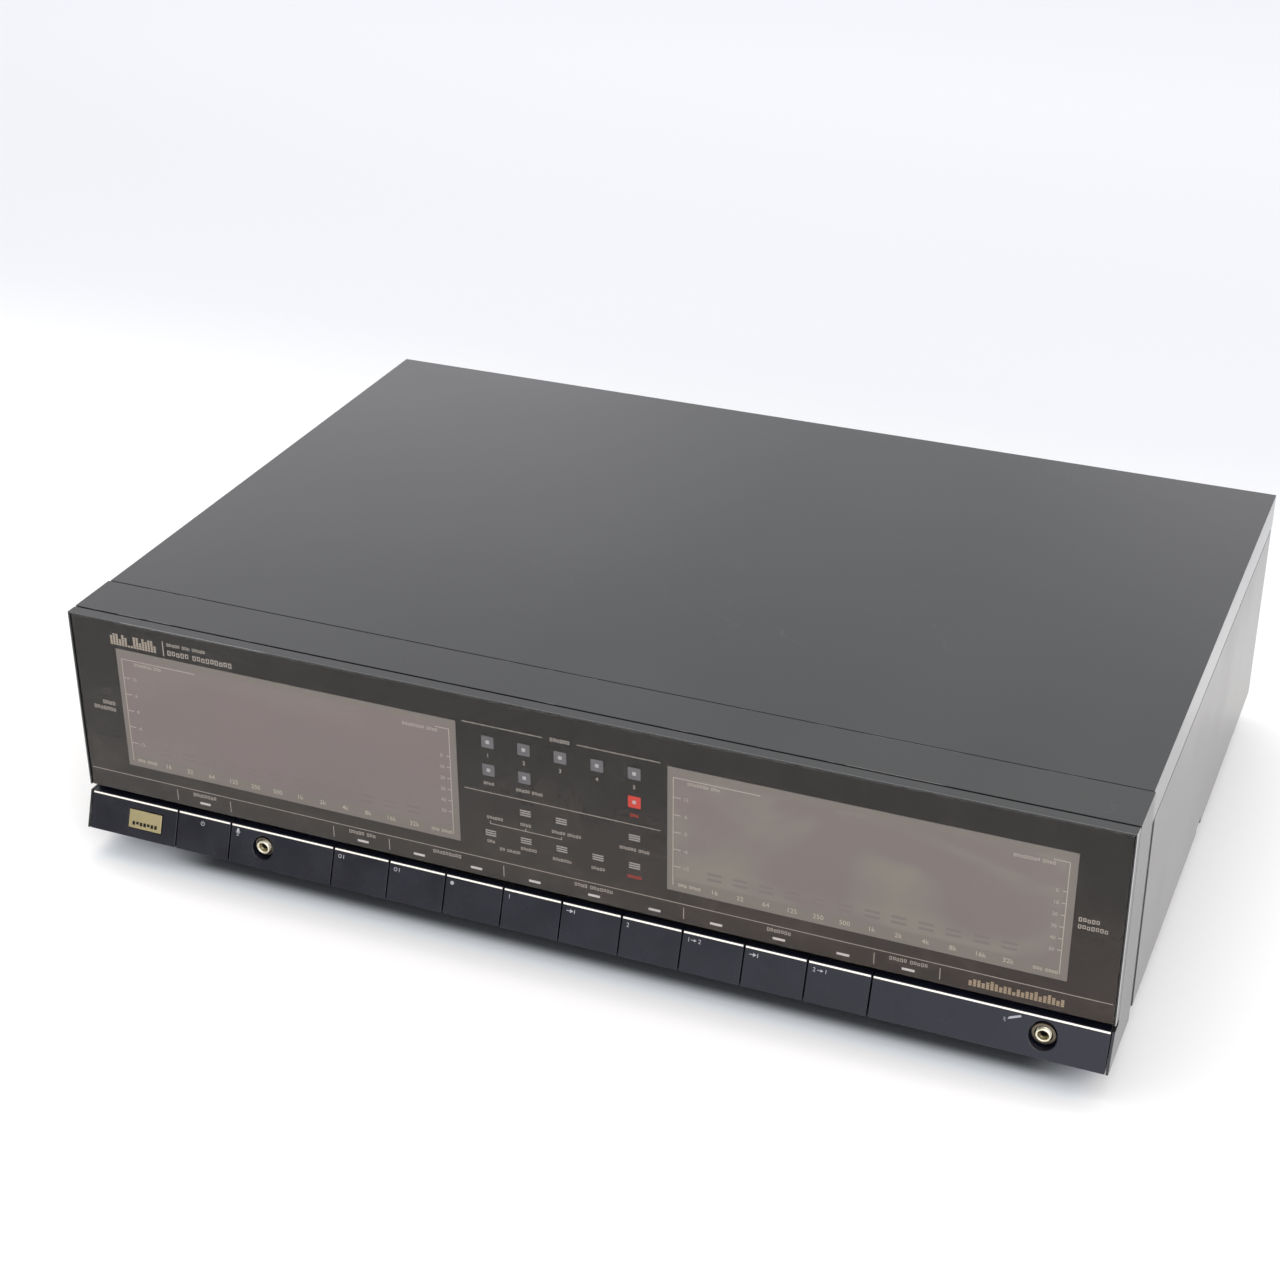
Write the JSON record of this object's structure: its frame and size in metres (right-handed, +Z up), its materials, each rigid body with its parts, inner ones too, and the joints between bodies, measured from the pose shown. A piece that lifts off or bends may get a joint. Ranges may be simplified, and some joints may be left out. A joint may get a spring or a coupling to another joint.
{
  "type": "graphic equalizer",
  "caption": "Full-width hi-fi graphic equalizer with a smoked face panel, two display windows, light-pen targets, a row of leaning push keys, front jacks and rear phono jacks.",
  "frame": {"origin": "middle of the bounding box in plan, on the plane of the foot bottoms", "axes": "+X to the right seen from the front, +Y to the rear panel, +Z up"},
  "size_m": [0.43, 0.306, 0.111],
  "materials": {
    "case_paint": "satin black paint",
    "bezel_plastic": "satin",
    "smoked_acrylic": "clear smoked gloss",
    "key_plastic": "satin",
    "display_glass": "satin",
    "badge_gold": "brushed",
    "jack_metal": "polished",
    "black_plastic": "moulded",
    "lamp_plastic": "diffuse",
    "circuit_board": "laminate",
    "zinc_steel": "zinc plated",
    "heatsink_aluminium": "extruded",
    "core_steel": "varnished laminations",
    "copper_winding": "taped",
    "rubber": "matte",
    "screw_steel": "blackened"
  },
  "bodies": {
    "chassis": {"badge_block": "key_plastic", "badge_plate": "badge_gold", "board_spacer_1": "zinc_steel", "board_spacer_2": "zinc_steel", "board_spacer_3": "zinc_steel", "board_spacer_4": "zinc_steel", "bottom_plate": "zinc_steel", "control_board": "circuit_board", "cord_gland": "black_plastic", "cover_screw_1": "screw_steel", "cover_screw_2": "screw_steel", "cover_screw_3": "screw_steel", "display_board": "circuit_board", "display_left": "display_glass", "display_right": "display_glass", "face_frame": "bezel_plastic", "face_panel": "smoked_acrylic", "filter_capacitor_1": "black_plastic", "filter_capacitor_2": "black_plastic", "foot_front_left": "rubber", "foot_front_right": "rubber", "foot_rear_left": "rubber", "foot_rear_right": "rubber", "front_bezel": "bezel_plastic", "front_bracket": "zinc_steel", "heatsink": "heatsink_aluminium", "indicator_strip": "lamp_plastic", "key_board": "circuit_board", "line_jacks": "black_plastic", "main_board": "circuit_board", "mic_jack": "jack_metal", "mic_jack_nut": "jack_metal", "mic_panel": "key_plastic", "pen_jack": "jack_metal", "pen_jack_nut": "jack_metal", "pen_panel": "key_plastic", "pen_target_block": "black_plastic", "power_board": "circuit_board", "power_switch": "black_plastic", "rear_panel": "case_paint", "ribbon_cable": "black_plastic", "side_panel_left": "case_paint", "side_panel_right": "case_paint", "tape_1_jacks": "black_plastic", "tape_2_jacks": "black_plastic", "top_cover": "case_paint", "transformer_core": "core_steel", "transformer_winding": "copper_winding"},
    "key_dub_1_to_2": {"key_dub_1_to_2": "key_plastic"},
    "key_dub_2_to_1": {"key_dub_2_to_1": "key_plastic"},
    "key_dub_source": {"key_dub_source": "key_plastic"},
    "key_eq_on": {"key_eq_on": "key_plastic"},
    "key_eq_rec": {"key_eq_rec": "key_plastic"},
    "key_noise_rec": {"key_noise_rec": "key_plastic"},
    "key_power": {"key_power": "key_plastic"},
    "key_tape_1": {"key_tape_1": "key_plastic"},
    "key_tape_2": {"key_tape_2": "key_plastic"},
    "key_tape_source": {"key_tape_source": "key_plastic"}
  },
  "joints": [
    {"name": "key_dub_1_to_2_press", "type": "slide", "parent": "chassis", "child": "key_dub_1_to_2", "axis": [0, 1, 0], "range_m": [0, 0.002], "stiffness_N_per_m": 600, "springref_m": -0.001},
    {"name": "key_dub_2_to_1_press", "type": "slide", "parent": "chassis", "child": "key_dub_2_to_1", "axis": [0, 1, 0], "range_m": [0, 0.002], "stiffness_N_per_m": 600, "springref_m": -0.001},
    {"name": "key_dub_source_press", "type": "slide", "parent": "chassis", "child": "key_dub_source", "axis": [0, 1, 0], "range_m": [0, 0.002], "stiffness_N_per_m": 600, "springref_m": -0.001},
    {"name": "key_eq_on_press", "type": "slide", "parent": "chassis", "child": "key_eq_on", "axis": [0, 1, 0], "range_m": [0, 0.002], "stiffness_N_per_m": 600, "springref_m": -0.001},
    {"name": "key_eq_rec_press", "type": "slide", "parent": "chassis", "child": "key_eq_rec", "axis": [0, 1, 0], "range_m": [0, 0.002], "stiffness_N_per_m": 600, "springref_m": -0.001},
    {"name": "key_noise_rec_press", "type": "slide", "parent": "chassis", "child": "key_noise_rec", "axis": [0, 1, 0], "range_m": [0, 0.002], "stiffness_N_per_m": 600, "springref_m": -0.001},
    {"name": "key_power_press", "type": "slide", "parent": "chassis", "child": "key_power", "axis": [0, 1, 0], "range_m": [0, 0.0025], "stiffness_N_per_m": 800, "springref_m": -0.001},
    {"name": "key_tape_1_press", "type": "slide", "parent": "chassis", "child": "key_tape_1", "axis": [0, 1, 0], "range_m": [0, 0.002], "stiffness_N_per_m": 600, "springref_m": -0.001},
    {"name": "key_tape_2_press", "type": "slide", "parent": "chassis", "child": "key_tape_2", "axis": [0, 1, 0], "range_m": [0, 0.002], "stiffness_N_per_m": 600, "springref_m": -0.001},
    {"name": "key_tape_source_press", "type": "slide", "parent": "chassis", "child": "key_tape_source", "axis": [0, 1, 0], "range_m": [0, 0.002], "stiffness_N_per_m": 600, "springref_m": -0.001}
  ]
}
